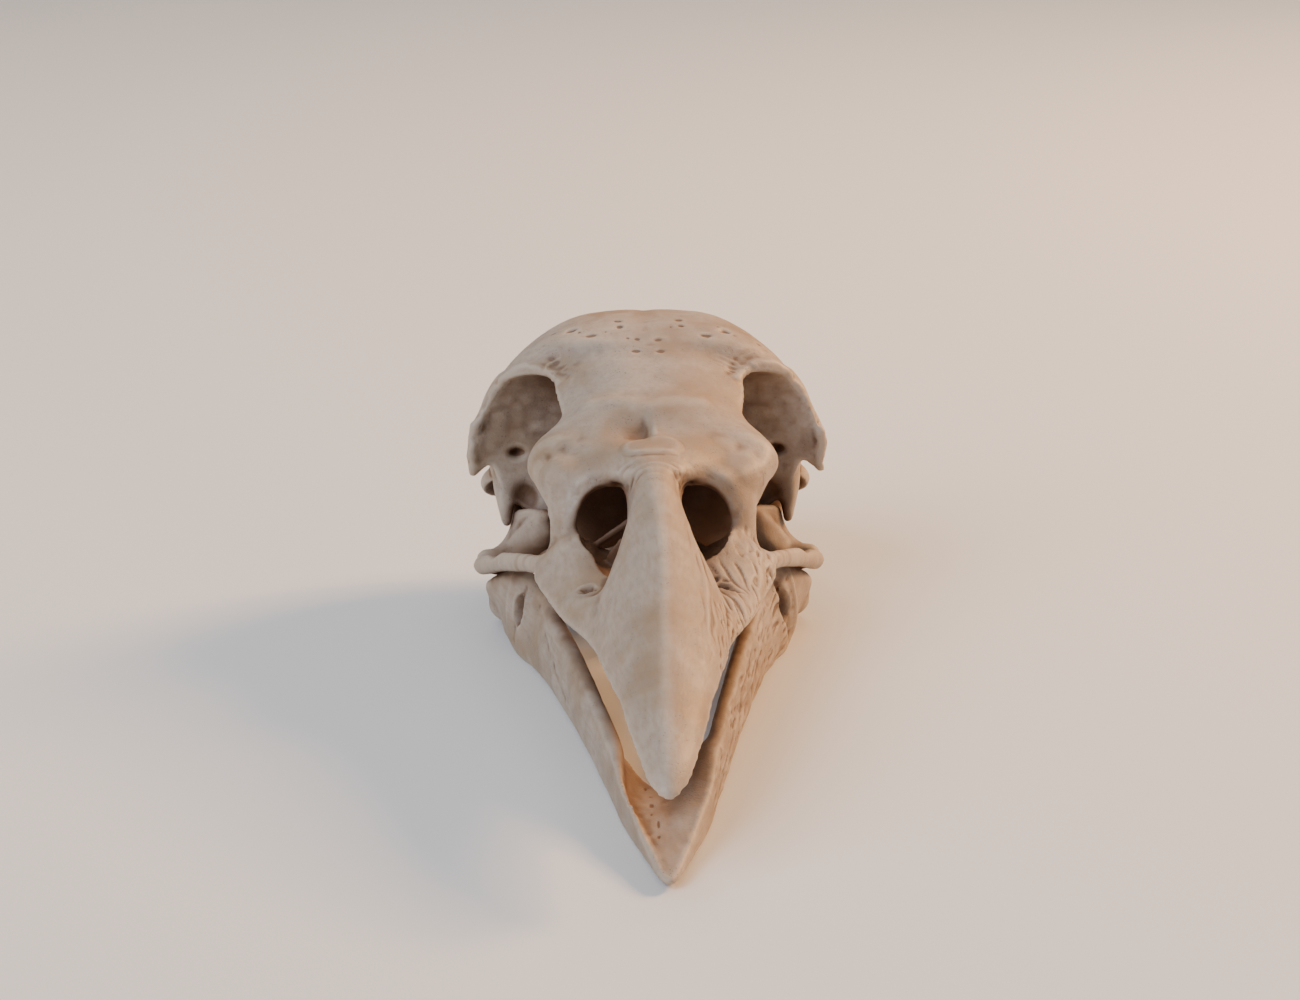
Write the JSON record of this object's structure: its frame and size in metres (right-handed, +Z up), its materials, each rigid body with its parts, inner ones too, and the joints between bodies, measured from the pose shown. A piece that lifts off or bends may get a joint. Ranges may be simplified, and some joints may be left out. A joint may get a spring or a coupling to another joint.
{
  "type": "bird skull",
  "caption": "Life-size dry skull of a large crow-like bird with its beak ajar, as separate bones; a still study model that rests on the underside of its lower jaw.",
  "frame": {"origin": "centre of the bounding box's base, on the surface that the lower jaw rests on", "axes": "+Z up; the beak points along -Y; +X is to the right as seen from in front of the beak, and nodes named right are on that side"},
  "size_m": [0.0465, 0.1097, 0.0389],
  "materials": {
    "bone": "matte dry bone"
  },
  "bodies": {
    "root": {"cranium": "bone", "upper_bill": "bone", "mandible": "bone", "quadrate_left": "bone", "quadrate_right": "bone", "jugal_left": "bone", "jugal_right": "bone", "pterygoid_left": "bone", "pterygoid_right": "bone", "palatine_left": "bone", "palatine_right": "bone"}
  },
  "joints": []
}
